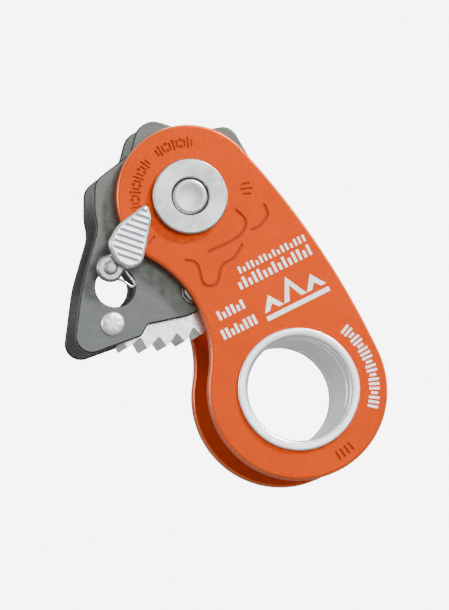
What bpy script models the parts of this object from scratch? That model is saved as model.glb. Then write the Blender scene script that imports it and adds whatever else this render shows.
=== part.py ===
"""A rope-clamping pulley: two side plates that swing on one axle, a sheave and a toothed cam between
them, and a wide carabiner eye at the other end.

It is modelled as it hangs. The origin is the centre of the carabiner eye at mid thickness, +Z is up
and the front faces -Y. Every piece is drawn in a flat design plane (x to the right, y up, z towards
the front) and then stood upright, so a drawing's y is the world's Z and a drawing's z is the world's -Y.
"""
import math

import bmesh
import bpy
from mathutils import Vector

MM = 0.001
UPRIGHT = (math.radians(90), 0, 0)

# Where things are, in millimetres: the eye is at (0, 0), the cam's own drawing is about the axle
EYE_TO_AXLE = 39.0
LEAN = 30.0
AXLE_AT = Vector((-EYE_TO_AXLE * math.sin(math.radians(LEAN)), EYE_TO_AXLE * math.cos(math.radians(LEAN))))
CATCH_AT = Vector((-13.9, -12.7))
LOWER_RIVET_AT = Vector((-13.1, -22.3))
UPPER_RIVET_AT = Vector((1.7, -16.1))
WINDOW_AT = Vector((-12.7, -15.8))
REAR_WINDOW_SHIFT = Vector((0.7, 0.9))

# The stack, as half widths from the middle plane
GAP = 0.3
CAM_INNER = 6.8
CAM_OUTER = 8.3
SIDE_INNER = CAM_OUTER + GAP
SIDE_OUTER = SIDE_INNER + 3.0
HEAD_INNER = SIDE_OUTER + GAP
HEAD_OUTER = HEAD_INNER + 1.4

# Side plates
HEAD_RADIUS = 12.9
FOOT_RADIUS = 16.0
WAIST_RADIUS = 19.5
BACK_RADIUS = 139.5

# Round pieces
AXLE_RADIUS = 3.0
BORE_RADIUS = AXLE_RADIUS + GAP
WASHER_RADIUS = 6.7
EYE_RADIUS = 9.1
RING_RADIUS = 10.9
SLEEVE_RADIUS = 9.9
DRUM_RADIUS = 12.4
RING_LIP = 0.4
LIP_EDGE = 0.3
BORE_EDGE = 0.35
SHEAVE_RADIUS = 11.9
GROOVE_RADIUS = 8.2
SHEAVE_HALF = CAM_INNER - 0.4
BUSH_RADIUS = 4.4
FRICTION_RADIUS = 6.1
FRICTION_THICK = 0.5
RIVET_RADIUS = 1.6
RIVET_HEAD = 2.1
RIVET_WELL = 2.55
PIN_RADIUS = 0.9
PIN_HEAD = 1.25
PIN_LUG = 2.0
WINDOW_RADIUS = 3.5

# The cam spring lies in a ring-shaped pocket of the rear plate
SPRING_RADIUS = 8.0
SPRING_WIRE = 0.25
SPRING_PITCH = 0.55
SPRING_TURNS = 1.8
SPRING_ROOM = 0.45
POCKET_DEPTH = 1.8

# Teeth of the cam: they lie on a spiral about the axle
TEETH = 6
TOOTH_FIRST = 284.5
TOOTH_PITCH = 7.2
TOOTH_RADIUS = 22.9
TOOTH_GROWTH = 1.05
TOOTH_DEPTH = 1.7
LOWER_BOSS = 2.9
UPPER_BOSS = 3.1
BLOCK_NECK = [Vector((-7.0, -19.2)), Vector((-2.2, -15.6))]

# Catch: a hub with a stem beside it behind, and a ribbed tab in front; drawn about its pin
HUB_RADIUS = 2.5
STEM_AT = Vector((2.3, 1.9))
STEM_RADIUS = 1.5
BRIDGE_AT = STEM_AT + Vector((0.4, 0.4))
BRIDGE_RADIUS = 1.1
HUB_BACK = CAM_OUTER + 2.1
TAB_THICK = 2.3
TAB_CORNERS = [
    (6.1, 11.4, 0.8),
    (7.0, 8.9, 3.0),
    (6.1, 3.8, 8.0),
    (5.3, 0.5, 2.0),
    (3.0, -0.4, 2.2),
    (0.8, 0.8, 2.0),
    (-0.9, 4.0, 2.2),
    (0.9, 7.4, 6.0),
]
RIBS = 7
RIB_PITCH = 1.1
RIB_FIRST = Vector((3.0, 2.4))
RIB_DEPTH = 0.35
RIB_HALF_LENGTH = 2.2
RIB_SHRINK = 0.12
RIB_HALF_WIDTH = 0.22
TAB_AXIS = Vector((3.3, 11.1)).normalized()

# Catch spring
COIL_RADIUS = 1.75
COIL_WIRE = 0.25
COIL_TURNS = 1.5
COIL_RISE = 0.6
COIL_START = -60
LEG_POINTS = [
    (2.6, 0.5),
    (3.4, -0.8),
    (4.4, -2.1),
    (4.6, -2.7),
    (4.2, -3.0),
    (3.7, -2.75),
    (2.4, -1.85),
]


def clear_scene():
    for obj in list(bpy.data.objects):
        bpy.data.objects.remove(obj, do_unlink=True)


def make_collection(name):
    collection = bpy.data.collections.new(name)
    bpy.context.scene.collection.children.link(collection)
    return collection


def make_material(name, colour, roughness, metallic):
    material = bpy.data.materials.new(name)
    material.use_nodes = True
    shader = material.node_tree.nodes["Principled BSDF"]
    shader.inputs["Base Color"].default_value = (*colour, 1)
    shader.inputs["Roughness"].default_value = roughness
    shader.inputs["Metallic"].default_value = metallic
    return material


def make_empty(name, at, parent=None):
    """A joint's place: `at` is in the drawing plane, and counts from the parent's place."""
    empty = bpy.data.objects.new(name, None)
    empty.location = (at[0] * MM, 0, at[1] * MM)
    empty.parent = parent
    bpy.context.scene.collection.objects.link(empty)
    return empty


def finish(obj, name, material, parent, at=(0, 0)):
    """Name a drawn piece, stand it upright at its place, and put it in the model's collection."""
    for collection in list(obj.users_collection):
        collection.objects.unlink(obj)
    PARTS.objects.link(obj)
    obj.name = name
    obj.data.materials.clear()
    obj.data.materials.append(material)
    obj.rotation_euler = UPRIGHT
    obj.location = (at[0] * MM, 0, at[1] * MM)
    obj.parent = parent
    obj.data.shade_smooth()
    obj.data.set_sharp_from_angle(angle=math.radians(30))
    return obj


def arc(centre, radius, start, end, step=9.0):
    """Points along an arc, angles in degrees, anticlockwise when end is larger than start."""
    count = max(2, math.ceil(abs(end - start) / step))
    angles = [math.radians(start + (end - start) * i / count) for i in range(count + 1)]
    return [Vector((centre[0] + radius * math.cos(a), centre[1] + radius * math.sin(a))) for a in angles]


def circle(centre, radius, step=15.0):
    return arc(centre, radius, 0, 360, step)[:-1]


def bearing(start, end):
    """Direction from one point to another, in degrees from 0 to 360."""
    return math.degrees(math.atan2(end[1] - start[1], end[0] - start[0])) % 360


def meeting(centre_a, radius_a, centre_b, radius_b, side):
    """Where two circles meet; side 1 is on the left of the way from a to b, and -1 on the right."""
    across = centre_b - centre_a
    distance = across.length
    along = (radius_a ** 2 - radius_b ** 2 + distance ** 2) / (2 * distance)
    off = math.sqrt(radius_a ** 2 - along ** 2)
    ahead = across / distance
    return centre_a + ahead * along + Vector((-ahead.y, ahead.x)) * off * side


def rounded(corners, step=20.0):
    """A closed outline from corners (x, y, radius), each corner rounded by its own arc."""
    points = []
    for i, (x, y, radius) in enumerate(corners):
        corner = Vector((x, y))
        back = (Vector(corners[i - 1][:2]) - corner).normalized()
        ahead = (Vector(corners[(i + 1) % len(corners)][:2]) - corner).normalized()
        half = back.angle(ahead) / 2
        centre = corner + (back + ahead).normalized() * radius / math.sin(half)
        start = bearing(centre, corner + back * radius / math.tan(half))
        end = bearing(centre, corner + ahead * radius / math.tan(half))
        turn = (end - start + 180) % 360 - 180
        points += arc(centre, radius, start, start + turn, step)
    return points


def side_outline():
    """Round head about the axle, round foot about the eye, a hollow waist and a long full back."""
    eye = Vector((0, 0))
    waist = meeting(eye, FOOT_RADIUS + WAIST_RADIUS, AXLE_AT, HEAD_RADIUS + WAIST_RADIUS, 1)
    spine = meeting(eye, BACK_RADIUS - FOOT_RADIUS, AXLE_AT, BACK_RADIUS - HEAD_RADIUS, 1)
    back_low = bearing(spine, eye)
    back_high = bearing(spine, AXLE_AT)
    if back_low > 180:
        back_low -= 360
    points = arc(spine, BACK_RADIUS, back_low, back_high, 2.5)
    points += arc(AXLE_AT, HEAD_RADIUS, back_high, bearing(AXLE_AT, waist), 9)[1:]
    points += arc(waist, WAIST_RADIUS, bearing(waist, AXLE_AT), bearing(waist, eye) - 360, 9)[1:]
    points += arc(eye, FOOT_RADIUS, bearing(eye, waist), back_low + 360, 9)[1:-1]
    return points


def cam_outline():
    """The cam plates, about the axle: three lobes at the top, a long tail and a stepped lower edge."""
    corners = [
        (12.6, -2.0, 8.0),
        (12.2, 6.0, 6.0),
        (7.9, 13.3, 2.8),
        (1.0, 11.9, 8.0),
        (-8.3, 14.6, 3.6),
        (-10.1, 7.9, 2.0),
        (-16.4, 3.0, 3.2),
        (-16.4, -2.6, 6.0),
        (-15.8, -5.6, 6.0),
        (-18.5, -15.0, 20.0),
        (-20.3, -29.0, 2.9),
        (-8.0, -24.4, 0.8),
        (-6.8, -22.3, 0.7),
        (0.5, -20.7, 8.0),
        (7.0, -17.2, 3.0),
        (5.6, -11.2, 3.0),
    ]
    return rounded(corners)


def front_window():
    """A round window with a lug left at its top, where the catch's pin is fixed."""
    left = meeting(WINDOW_AT, WINDOW_RADIUS, CATCH_AT, PIN_LUG, 1)
    right = meeting(WINDOW_AT, WINDOW_RADIUS, CATCH_AT, PIN_LUG, -1)
    start = bearing(WINDOW_AT, left)
    end = bearing(WINDOW_AT, right)
    points = arc(WINDOW_AT, WINDOW_RADIUS, start, end + 360 if end < start else end, 12)
    lug_start = bearing(CATCH_AT, right)
    lug_end = bearing(CATCH_AT, left)
    turn = (lug_end - lug_start + 180) % 360 - 180
    points += arc(CATCH_AT, PIN_LUG, lug_start, lug_start + turn, 15)[1:-1]
    return points


def rear_window():
    """A round-ended slot behind the front window, so that the view through both is clear."""
    far = WINDOW_AT + REAR_WINDOW_SHIFT
    slope = bearing(WINDOW_AT, far)
    points = arc(WINDOW_AT, WINDOW_RADIUS, slope + 90, slope + 270, 12)
    points += arc(far, WINDOW_RADIUS, slope - 90, slope + 90, 12)
    return points


def teeth_outline():
    """The toothed block, about the axle: teeth on a spiral, and bosses round the two rivets."""
    points = []
    for i in range(TEETH):
        angle = math.radians(TOOTH_FIRST - TOOTH_PITCH * i)
        root = math.radians(TOOTH_FIRST - TOOTH_PITCH * (i + 0.5))
        tip = TOOTH_RADIUS + TOOTH_GROWTH * i
        valley = tip - TOOTH_DEPTH + TOOTH_GROWTH / 2
        points.append(Vector((tip * math.cos(angle), tip * math.sin(angle))))
        points.append(Vector((valley * math.cos(root), valley * math.sin(root))))
    points += arc(LOWER_RIVET_AT, LOWER_BOSS, 290, 80, 30)
    points += BLOCK_NECK
    points += arc(UPPER_RIVET_AT, UPPER_BOSS, 130, -20, 30)
    return points


def slab(outlines, front, back):
    """A flat solid between two heights of the drawing; every outline after the first is a hole."""
    curve = bpy.data.curves.new("outline", "CURVE")
    curve.dimensions = "2D"
    curve.fill_mode = "BOTH"
    curve.extrude = (front - back) / 2 * MM
    for outline in outlines:
        spline = curve.splines.new("POLY")
        spline.points.add(len(outline) - 1)
        for point, place in zip(spline.points, outline):
            point.co = (place[0] * MM, place[1] * MM, 0, 1)
        spline.use_cyclic_u = True
    source = bpy.data.objects.new("outline", curve)
    bpy.context.scene.collection.objects.link(source)
    evaluated = source.evaluated_get(bpy.context.evaluated_depsgraph_get())
    mesh = bpy.data.meshes.new_from_object(evaluated)
    bpy.data.objects.remove(source)
    welded = bmesh.new()
    welded.from_mesh(mesh)
    bmesh.ops.remove_doubles(welded, verts=welded.verts, dist=1e-6)
    bmesh.ops.translate(welded, verts=welded.verts, vec=(0, 0, (front + back) / 2 * MM))
    bmesh.ops.dissolve_limit(welded, angle_limit=0.01, verts=welded.verts, edges=welded.edges)
    bmesh.ops.recalc_face_normals(welded, faces=welded.faces)
    welded.to_mesh(mesh)
    welded.free()
    obj = bpy.data.objects.new("slab", mesh)
    bpy.context.scene.collection.objects.link(obj)
    return obj


def turned(profile, closed, steps=32):
    """A turned solid: profile points are (radius, height), running down the outer side."""
    mesh = bpy.data.meshes.new("turned")
    verts = [(radius * MM, 0, height * MM) for radius, height in profile]
    edges = [(i, i + 1) for i in range(len(verts) - 1)]
    if closed:
        edges.append((len(verts) - 1, 0))
    mesh.from_pydata(verts, edges, [])
    obj = bpy.data.objects.new("turned", mesh)
    bpy.context.scene.collection.objects.link(obj)
    screw = obj.modifiers.new("Screw", "SCREW")
    screw.axis = "Z"
    screw.steps = steps
    screw.render_steps = steps
    screw.use_merge_vertices = True
    screw.merge_threshold = 1e-6
    return obj


def ring(outer, inner, top, bottom, chamfer, steps=32):
    """A turned ring, with its outer edges chamfered."""
    profile = [
        (outer - chamfer, top),
        (outer, top - chamfer),
        (outer, bottom + chamfer),
        (outer - chamfer, bottom),
        (inner, bottom),
        (inner, top),
    ]
    return turned(profile, True, steps)


def pin(radius, top, bottom, chamfer, steps=24):
    """A turned solid pin with chamfered ends."""
    profile = [
        (0, top),
        (radius - chamfer, top),
        (radius, top - chamfer),
        (radius, bottom + chamfer),
        (radius - chamfer, bottom),
        (0, bottom),
    ]
    return turned(profile, False, steps)


def wire(points, radius, sides=2):
    """A round wire along points (x, y, z) of the drawing."""
    curve = bpy.data.curves.new("wire", "CURVE")
    curve.dimensions = "3D"
    curve.bevel_depth = radius * MM
    curve.bevel_resolution = sides
    curve.use_fill_caps = True
    spline = curve.splines.new("POLY")
    spline.points.add(len(points) - 1)
    for point, place in zip(spline.points, points):
        point.co = (place[0] * MM, place[1] * MM, place[2] * MM, 1)
    source = bpy.data.objects.new("wire", curve)
    bpy.context.scene.collection.objects.link(source)
    evaluated = source.evaluated_get(bpy.context.evaluated_depsgraph_get())
    mesh = bpy.data.meshes.new_from_object(evaluated)
    bpy.data.objects.remove(source)
    welded = bmesh.new()
    welded.from_mesh(mesh)
    bmesh.ops.remove_doubles(welded, verts=welded.verts, dist=1e-6)
    bmesh.ops.recalc_face_normals(welded, faces=welded.faces)
    welded.to_mesh(mesh)
    welded.free()
    obj = bpy.data.objects.new("wire", mesh)
    bpy.context.scene.collection.objects.link(obj)
    return obj


def bevel(obj, width, segments=1, angle=40):
    modifier = obj.modifiers.new("Bevel", "BEVEL")
    modifier.width = width * MM
    modifier.segments = segments
    modifier.limit_method = "ANGLE"
    modifier.angle_limit = math.radians(angle)
    return obj


def combine(obj, tool, operation):
    """Cut a piece with a tool, or join the tool to it; the tool stays as a hidden cutter."""
    for collection in list(tool.users_collection):
        collection.objects.unlink(tool)
    CUTTERS.objects.link(tool)
    tool.name = "cutter"
    tool.hide_render = True
    tool.display_type = "WIRE"
    modifier = obj.modifiers.new("Boolean", "BOOLEAN")
    modifier.operation = operation
    modifier.solver = "EXACT"
    modifier.object = tool
    return obj


def bolt_on(tool, piece):
    """Give a tool the place of the piece that it works on."""
    tool.rotation_euler = piece.rotation_euler
    tool.location = piece.location
    tool.parent = piece.parent
    return tool


def side_plate(name, front, back, pockets, parent):
    """One of the two anodised side plates; pockets are turned cutters about the axle."""
    outlines = [side_outline(), circle(AXLE_AT, BORE_RADIUS), circle((0, 0), SLEEVE_RADIUS + GAP, 9)]
    offset = Vector((parent.location.x, parent.location.z)) / MM if parent else Vector((0, 0))
    outlines = [[point - offset for point in outline] for outline in outlines]
    plate = slab(outlines, front, back)
    finish(plate, name, ORANGE, parent)
    for pocket in pockets:
        bolt_on(pocket, plate)
        pocket.location = Vector(((AXLE_AT.x - offset.x) * MM, 0, (AXLE_AT.y - offset.y) * MM))
        combine(plate, pocket, "DIFFERENCE")
    bevel(plate, 0.35)
    return plate


def side_plates():
    front_pocket = pin(FRICTION_RADIUS + GAP, SIDE_INNER + FRICTION_THICK + GAP, SIDE_INNER - 1, 0, 32)
    side_plate("front_side_plate", SIDE_OUTER, SIDE_INNER, [front_pocket], FRONT_AXIS)
    rear_pocket = pin(FRICTION_RADIUS + GAP, -SIDE_INNER + 1, -SIDE_INNER - FRICTION_THICK - GAP, 0, 32)
    reach = SPRING_WIRE + SPRING_ROOM
    coil_top = -SIDE_INNER + 1
    coil_bottom = -SIDE_INNER - POCKET_DEPTH
    coil_pocket = ring(SPRING_RADIUS + reach, SPRING_RADIUS - reach, coil_top, coil_bottom, 0)
    side_plate("rear_side_plate", -SIDE_INNER, -SIDE_OUTER, [rear_pocket, coil_pocket], None)


def eye_ring(name, facing, parent, at):
    """A flanged ring in a side plate's eye: facing 1 is the front plate's, -1 the rear one's."""
    flange = HEAD_INNER + RING_LIP
    profile = [
        (RING_RADIUS - RING_LIP, flange),
        (RING_RADIUS, flange - LIP_EDGE),
        (RING_RADIUS, HEAD_INNER),
        (SLEEVE_RADIUS, HEAD_INNER),
        (SLEEVE_RADIUS, SIDE_INNER + GAP),
        (EYE_RADIUS, SIDE_INNER + GAP),
        (EYE_RADIUS, flange - BORE_EDGE),
        (EYE_RADIUS + BORE_EDGE, flange),
    ]
    if facing < 0:
        profile = [(radius, -height) for radius, height in reversed(profile)]
    finish(turned(profile, True, 36), name, SILVER, parent, at)


def eye_pieces():
    eye_ring("front_eye_ring", 1, FRONT_AXIS, -AXLE_AT)
    eye_ring("rear_eye_ring", -1, None, (0, 0))
    drum = ring(DRUM_RADIUS, EYE_RADIUS, CAM_OUTER, -CAM_OUTER, 0.4, 36)
    finish(drum, "eye_drum", SILVER, None)


def axle_pieces():
    end = HEAD_OUTER - 0.2
    finish(pin(AXLE_RADIUS, end, -end, 0.4), "axle", STEEL, None, AXLE_AT)
    for name, near, far in (("front", HEAD_OUTER, HEAD_INNER), ("rear", -HEAD_INNER, -HEAD_OUTER)):
        washer = ring(WASHER_RADIUS, BORE_RADIUS, near, far, 0.3)
        finish(washer, name + "_axle_washer", SILVER, None, AXLE_AT)
    low = SIDE_INNER
    high = SIDE_INNER + FRICTION_THICK
    front = ring(FRICTION_RADIUS, BORE_RADIUS, high, low, 0, 20)
    finish(front, "front_friction_washer", NYLON, FRONT_AXIS)
    rear = ring(FRICTION_RADIUS, BORE_RADIUS, -low, -high, 0, 20)
    finish(rear, "rear_friction_washer", NYLON, None, AXLE_AT)


def cam_spring():
    """A flat torsion spring about the axle, in the rear plate's pocket."""
    steps = 28
    height = -SIDE_INNER - SPRING_WIRE
    points = []
    for i in range(steps + 1):
        angle = math.tau * SPRING_TURNS * i / steps
        drop = SPRING_PITCH * SPRING_TURNS * i / steps
        points.append((SPRING_RADIUS * math.cos(angle), SPRING_RADIUS * math.sin(angle), height - drop))
    finish(wire(points, SPRING_WIRE, 1), "cam_spring", STEEL, None, AXLE_AT)


def sheave_pieces():
    profile = [
        (SHEAVE_RADIUS - 0.4, SHEAVE_HALF),
        (SHEAVE_RADIUS, SHEAVE_HALF - 0.4),
        (SHEAVE_RADIUS, SHEAVE_HALF - 0.8),
        (SHEAVE_RADIUS - 1.6, SHEAVE_HALF - 1.9),
        (GROOVE_RADIUS + 0.6, 2.4),
        (GROOVE_RADIUS, 0.8),
        (GROOVE_RADIUS, -0.8),
        (GROOVE_RADIUS + 0.6, -2.4),
        (SHEAVE_RADIUS - 1.6, -SHEAVE_HALF + 1.9),
        (SHEAVE_RADIUS, -SHEAVE_HALF + 0.8),
        (SHEAVE_RADIUS, -SHEAVE_HALF + 0.4),
        (SHEAVE_RADIUS - 0.4, -SHEAVE_HALF),
        (BUSH_RADIUS + GAP, -SHEAVE_HALF),
        (BUSH_RADIUS + GAP, SHEAVE_HALF),
    ]
    finish(turned(profile, True, 32), "sheave", ALUMINIUM, SHEAVE_AXIS)
    bush = ring(BUSH_RADIUS, BORE_RADIUS, SHEAVE_HALF, -SHEAVE_HALF, 0.2, 20)
    finish(bush, "sheave_bushing", BRONZE, SHEAVE_AXIS)


def cam_pieces():
    rivet_holes = [circle(LOWER_RIVET_AT, RIVET_RADIUS + GAP, 18), circle(UPPER_RIVET_AT, RIVET_WELL, 18)]
    hub_hole = circle((0, 0), BUSH_RADIUS + GAP)
    pin_hole = circle(CATCH_AT, PIN_RADIUS + GAP, 30)
    front = slab([cam_outline(), hub_hole, front_window(), pin_hole] + rivet_holes, CAM_OUTER, CAM_INNER)
    finish(bevel(front, 0.25), "front_cam_plate", GUNMETAL, CAM_AXIS)
    rear = slab([cam_outline(), hub_hole, rear_window()] + rivet_holes, -CAM_INNER, -CAM_OUTER)
    finish(bevel(rear, 0.25), "rear_cam_plate", GUNMETAL, CAM_AXIS)
    for name, near, far in (("front", CAM_OUTER, CAM_INNER), ("rear", -CAM_INNER, -CAM_OUTER)):
        collar = ring(BUSH_RADIUS, BORE_RADIUS, near, far, 0, 20)
        finish(collar, name + "_cam_collar", BRONZE, CAM_AXIS)
    block_holes = [circle(place, RIVET_RADIUS + GAP, 24) for place in (LOWER_RIVET_AT, UPPER_RIVET_AT)]
    block = slab([teeth_outline()] + block_holes, CAM_INNER - GAP, GAP - CAM_INNER)
    finish(bevel(block, 0.2, angle=60), "toothed_cam", STEEL, CAM_AXIS)


def cam_rivets():
    """The lower rivet has raised heads; the upper one runs under the side plates and is flush."""
    raised = CAM_OUTER + GAP
    profile = [
        (0, raised + 0.4),
        (1.2, raised + 0.35),
        (RIVET_HEAD, raised),
        (RIVET_RADIUS, raised),
        (RIVET_RADIUS, -raised),
        (RIVET_HEAD, -raised),
        (1.2, -raised - 0.35),
        (0, -raised - 0.4),
    ]
    finish(turned(profile, False, 20), "lower_cam_rivet", STEEL, CAM_AXIS, LOWER_RIVET_AT)
    profile = [
        (0, CAM_OUTER),
        (RIVET_HEAD - 0.4, CAM_OUTER),
        (RIVET_HEAD, CAM_OUTER - 0.4),
        (RIVET_HEAD, CAM_INNER),
        (RIVET_RADIUS, CAM_INNER - GAP / 2),
        (RIVET_RADIUS, GAP / 2 - CAM_INNER),
        (RIVET_HEAD, -CAM_INNER),
        (RIVET_HEAD, 0.4 - CAM_OUTER),
        (RIVET_HEAD - 0.4, -CAM_OUTER),
        (0, -CAM_OUTER),
    ]
    finish(turned(profile, False, 20), "upper_cam_rivet", STEEL, CAM_AXIS, UPPER_RIVET_AT)


def catch_lever():
    """A ribbed thumb tab in front of the side plate, on a hub that turns on a pin in the cam plate."""
    hub_front = SIDE_OUTER
    tab_back = HEAD_INNER
    tab_front = tab_back + TAB_THICK
    hub = arc((0, 0), HUB_RADIUS, 128, 308, 20) + arc(STEM_AT, STEM_RADIUS, -52, 128, 20)
    lever = slab([hub], hub_front, HUB_BACK)
    finish(lever, "catch_lever", SILVER, CATCH_AXIS)
    combine(lever, bolt_on(slab([rounded(TAB_CORNERS)], tab_front, tab_back), lever), "UNION")
    bridge = slab([circle(BRIDGE_AT, BRIDGE_RADIUS, 30)], tab_back + 0.5, hub_front - 0.5)
    combine(lever, bolt_on(bridge, lever), "UNION")
    combine(lever, bolt_on(pin(PIN_RADIUS + GAP, hub_front + 1, HUB_BACK - 1, 0), lever), "DIFFERENCE")
    for i in range(RIBS):
        middle = RIB_FIRST + TAB_AXIS * (RIB_PITCH * i)
        groove = rib_groove(middle, TAB_AXIS, RIB_HALF_LENGTH - RIB_SHRINK * i, RIB_HALF_WIDTH)
        combine(lever, bolt_on(slab([groove], tab_front + 1, tab_front - RIB_DEPTH), lever), "DIFFERENCE")


def rib_groove(middle, along, half_length, half_width):
    """A thin bar across the direction `along`."""
    across = Vector((-along.y, along.x))
    corners = ((1, 1), (-1, 1), (-1, -1), (1, -1))
    return [middle + across * (half_length * a) + along * (half_width * b) for a, b in corners]


def catch_pin():
    """Shouldered pin: a shank in the cam plate, the pivot, and a small head over the hub."""
    head = SIDE_OUTER + GAP
    profile = [
        (0, head + 0.35),
        (PIN_HEAD - 0.35, head + 0.3),
        (PIN_HEAD, head),
        (PIN_RADIUS, head),
        (PIN_RADIUS, CAM_INNER),
        (0, CAM_INNER),
    ]
    finish(turned(profile, False, 20), "catch_pin", STEEL, CAM_AXIS, CATCH_AT)


def catch_spring():
    """A small torsion spring under the catch's hub; its leg runs down the cam plate and hooks back."""
    low = CAM_OUTER + COIL_WIRE + GAP
    steps = 18
    start = math.radians(COIL_START)
    points = [(x, y, low) for x, y in LEG_POINTS]
    for i in range(steps + 1):
        angle = start + math.tau * COIL_TURNS * i / steps
        rise = COIL_RISE * COIL_TURNS * i / steps
        points.append((COIL_RADIUS * math.cos(angle), COIL_RADIUS * math.sin(angle), low + rise))
    finish(wire(points, COIL_WIRE, 1), "catch_spring", STEEL, CAM_AXIS, CATCH_AT)


clear_scene()
PARTS = make_collection("rope_clamp_pulley")
CUTTERS = make_collection("cutters")

ORANGE = make_material("orange_anodised", (0.85, 0.16, 0.03), 0.38, 0.35)
GUNMETAL = make_material("gunmetal_steel", (0.21, 0.22, 0.20), 0.42, 0.8)
SILVER = make_material("silver_aluminium", (0.72, 0.73, 0.74), 0.28, 1.0)
STEEL = make_material("bright_steel", (0.62, 0.63, 0.64), 0.22, 1.0)
ALUMINIUM = make_material("sheave_aluminium", (0.66, 0.67, 0.69), 0.35, 1.0)
BRONZE = make_material("bronze", (0.55, 0.38, 0.20), 0.4, 1.0)
NYLON = make_material("nylon", (0.8, 0.8, 0.78), 0.5, 0.0)

FRONT_AXIS = make_empty("front_plate_axis", AXLE_AT)
SHEAVE_AXIS = make_empty("sheave_axis", AXLE_AT)
CAM_AXIS = make_empty("cam_axis", AXLE_AT)
CATCH_AXIS = make_empty("catch_axis", CATCH_AT, CAM_AXIS)

side_plates()
eye_pieces()
axle_pieces()
cam_spring()
sheave_pieces()
cam_pieces()
cam_rivets()
catch_lever()
catch_pin()
catch_spring()
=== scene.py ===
"""Looks of the rope-clamping pulley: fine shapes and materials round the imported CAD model.

Every visible piece is drawn in a flat design plane (x to the right, y up, z towards the front), in
millimetres, and then stood upright at the axle, the eye, a rivet or the catch's pin. Those places and
the stack's depths are read from the CAD nodes' boxes.
"""

import math

import bmesh
import bpy
from mathutils import Matrix, Vector

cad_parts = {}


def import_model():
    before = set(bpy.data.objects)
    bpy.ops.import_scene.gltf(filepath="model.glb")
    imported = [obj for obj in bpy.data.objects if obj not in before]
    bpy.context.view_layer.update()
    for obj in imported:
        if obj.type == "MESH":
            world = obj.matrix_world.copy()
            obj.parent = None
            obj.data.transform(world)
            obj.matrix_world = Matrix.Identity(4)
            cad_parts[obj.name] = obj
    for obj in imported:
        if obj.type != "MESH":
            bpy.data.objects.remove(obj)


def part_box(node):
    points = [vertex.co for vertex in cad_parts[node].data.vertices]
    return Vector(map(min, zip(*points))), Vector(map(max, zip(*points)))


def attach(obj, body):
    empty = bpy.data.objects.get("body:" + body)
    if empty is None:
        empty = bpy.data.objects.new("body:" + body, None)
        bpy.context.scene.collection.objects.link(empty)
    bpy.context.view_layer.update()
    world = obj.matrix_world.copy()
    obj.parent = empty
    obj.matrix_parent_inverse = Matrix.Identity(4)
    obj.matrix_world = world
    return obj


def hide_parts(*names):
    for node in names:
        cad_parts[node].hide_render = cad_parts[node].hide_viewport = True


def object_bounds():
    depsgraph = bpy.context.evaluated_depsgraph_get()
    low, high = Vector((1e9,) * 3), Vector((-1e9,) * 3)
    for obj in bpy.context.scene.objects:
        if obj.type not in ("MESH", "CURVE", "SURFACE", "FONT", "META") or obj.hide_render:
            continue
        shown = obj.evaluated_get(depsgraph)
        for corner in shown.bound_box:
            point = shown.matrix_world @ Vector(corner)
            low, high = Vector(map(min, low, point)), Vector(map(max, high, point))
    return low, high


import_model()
CAD_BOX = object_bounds()
MM = 0.001
UPRIGHT = Matrix.Rotation(math.radians(90), 4, "X")


# ---------------------------------------------------------------- places and depths from the CAD
def centre_of(node):
    """The middle of a node's box in the drawing plane, in millimetres."""
    low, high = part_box(node)
    middle = (low + high) / 2
    return Vector((middle.x, middle.z)) / MM


def depths_of(node):
    """(front, back) height of a node in the drawing, in millimetres."""
    low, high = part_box(node)
    return -low.y / MM, -high.y / MM


def radius_of(node):
    """Half the width of a node's box, in millimetres."""
    low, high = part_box(node)
    return (high.x - low.x) / 2 / MM


EYE = centre_of("eye_drum")
AXLE = centre_of("axle")
CATCH = centre_of("catch_pin")
LOWER_RIVET = centre_of("lower_cam_rivet")
UPPER_RIVET = centre_of("upper_cam_rivet")

SIDE_OUTER, SIDE_INNER = depths_of("front_side_plate")
CAM_OUTER, CAM_INNER = depths_of("front_cam_plate")
AXLE_END = depths_of("axle")[0]
HEAD_OUTER, HEAD_INNER = depths_of("front_axle_washer")
RING_FRONT, RING_BACK = depths_of("front_eye_ring")
TAB_FRONT = depths_of("catch_lever")[0]
HUB_BACK = depths_of("catch_lever")[1]
BLOCK_HALF = depths_of("toothed_cam")[0]
SHEAVE_HALF = depths_of("sheave")[0]

WASHER_RADIUS = radius_of("front_axle_washer")
AXLE_RADIUS = radius_of("axle")
RING_RADIUS = radius_of("front_eye_ring")
DRUM_RADIUS = radius_of("eye_drum")
SHEAVE_RADIUS = radius_of("sheave")
FRICTION_RADIUS = radius_of("front_friction_washer")

# Sizes that the boxes don't give; they are the CAD's own
GAP = 0.3
HEAD_RADIUS = 12.9
FOOT_RADIUS = 16.0
WAIST_RADIUS = 19.5
BACK_RADIUS = 139.5
FRICTION_THICK = 0.5
EYE_BORE = 9.1
SLEEVE_RADIUS = 9.9
GROOVE_RADIUS = 8.2
BUSH_RADIUS = 4.4
RIVET_RADIUS = 1.6
RIVET_HEAD = 2.1
RIVET_WELL = 2.55
WINDOW = Vector((-12.7, -15.8))
WINDOW_RADIUS = 3.5
PIN_LUG = 2.0
REAR_WINDOW_SHIFT = Vector((0.7, 0.9))
SPRING_RADIUS = 8.0
SPRING_WIRE = 0.25
SPRING_TURNS = 1.8
SPRING_ROOM = 0.7
SPRING_POCKET = 1.8
TEETH = 6
TOOTH_RADIUS = 22.9
TOOTH_GROWTH = 1.05
TOOTH_FIRST = 284.5
TOOTH_PITCH = 7.2
LOWER_BOSS = 2.9
UPPER_BOSS = 3.1
HUB_RADIUS = 2.5
PIN_RADIUS = 0.9
PIN_HEAD = 1.25
STEM_AT = Vector((2.3, 1.9))
STEM_RADIUS = 1.5
BRIDGE_AT = STEM_AT + Vector((0.4, 0.4))
BRIDGE_RADIUS = 1.1
COIL_RADIUS = 1.75
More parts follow.
